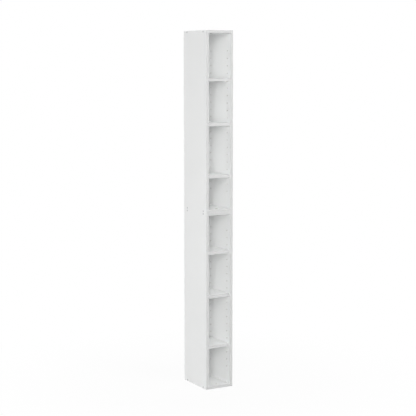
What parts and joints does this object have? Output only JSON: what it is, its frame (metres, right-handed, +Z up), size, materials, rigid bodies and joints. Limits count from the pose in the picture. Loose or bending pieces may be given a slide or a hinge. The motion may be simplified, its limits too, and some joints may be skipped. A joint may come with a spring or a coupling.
{
  "type": "narrow bookshelf",
  "caption": "Tall narrow open-fronted bookshelf: stacked white chipboard modules with shelves on pins that move from hole row to hole row.",
  "frame": {"origin": "middle of the base, on the floor", "axes": "+Z up, front towards -Y, +X to the right of someone who faces the shelves"},
  "size_m": [0.17, 0.26, 2.02],
  "materials": {
    "white_board": "chipboard faced with satin white melamine",
    "edge_band": "satin greyish white edge band",
    "back_board": "hardboard, white in front and brown behind",
    "zinc_steel": "bright zinc plate",
    "pin_nickel": "nickel plate",
    "nail_steel": "plain steel",
    "dowel_beech": "raw beech"
  },
  "bodies": {
    "carcass": {"joining_bolts": "pin_nickel", "joining_sleeves": "pin_nickel", "lower_back_panel": "back_board", "lower_bottom_dowels": "dowel_beech", "lower_bottom_edge_band": "edge_band", "lower_bottom_nails": "nail_steel", "lower_bottom_panel": "white_board", "lower_bottom_screws": "zinc_steel", "lower_left_edge_bands": "edge_band", "lower_left_side": "white_board", "lower_right_edge_bands": "edge_band", "lower_right_side": "white_board", "lower_top_dowels": "dowel_beech", "lower_top_edge_band": "edge_band", "lower_top_nails": "nail_steel", "lower_top_panel": "white_board", "lower_top_screws": "zinc_steel", "shelf_1_pins": "pin_nickel", "shelf_2_pins": "pin_nickel", "shelf_3_pins": "pin_nickel", "shelf_4_pins": "pin_nickel", "shelf_5_pins": "pin_nickel", "shelf_6_pins": "pin_nickel", "upper_back_panel": "back_board", "upper_bottom_dowels": "dowel_beech", "upper_bottom_edge_band": "edge_band", "upper_bottom_nails": "nail_steel", "upper_bottom_panel": "white_board", "upper_bottom_screws": "zinc_steel", "upper_left_edge_bands": "edge_band", "upper_left_side": "white_board", "upper_right_edge_bands": "edge_band", "upper_right_side": "white_board", "upper_top_dowels": "dowel_beech", "upper_top_edge_band": "edge_band", "upper_top_nails": "nail_steel", "upper_top_panel": "white_board", "upper_top_screws": "zinc_steel", "wall_bracket": "zinc_steel", "wall_bracket_screw": "zinc_steel"},
    "loose_shelf_1": {"shelf_1": "white_board", "shelf_1_edge_band": "edge_band"},
    "loose_shelf_2": {"shelf_2": "white_board", "shelf_2_edge_band": "edge_band"},
    "loose_shelf_3": {"shelf_3": "white_board", "shelf_3_edge_band": "edge_band"},
    "loose_shelf_4": {"shelf_4": "white_board", "shelf_4_edge_band": "edge_band"},
    "loose_shelf_5": {"shelf_5": "white_board", "shelf_5_edge_band": "edge_band"},
    "loose_shelf_6": {"shelf_6": "white_board", "shelf_6_edge_band": "edge_band"}
  },
  "joints": [
    {"name": "shelf_1_pull_out", "type": "slide", "parent": "carcass", "child": "loose_shelf_1", "axis": [0, -1, 0], "range_m": [0, 0.25]},
    {"name": "shelf_2_pull_out", "type": "slide", "parent": "carcass", "child": "loose_shelf_2", "axis": [0, -1, 0], "range_m": [0, 0.25]},
    {"name": "shelf_3_pull_out", "type": "slide", "parent": "carcass", "child": "loose_shelf_3", "axis": [0, -1, 0], "range_m": [0, 0.25]},
    {"name": "shelf_4_pull_out", "type": "slide", "parent": "carcass", "child": "loose_shelf_4", "axis": [0, -1, 0], "range_m": [0, 0.25]},
    {"name": "shelf_5_pull_out", "type": "slide", "parent": "carcass", "child": "loose_shelf_5", "axis": [0, -1, 0], "range_m": [0, 0.25]},
    {"name": "shelf_6_pull_out", "type": "slide", "parent": "carcass", "child": "loose_shelf_6", "axis": [0, -1, 0], "range_m": [0, 0.25]}
  ]
}
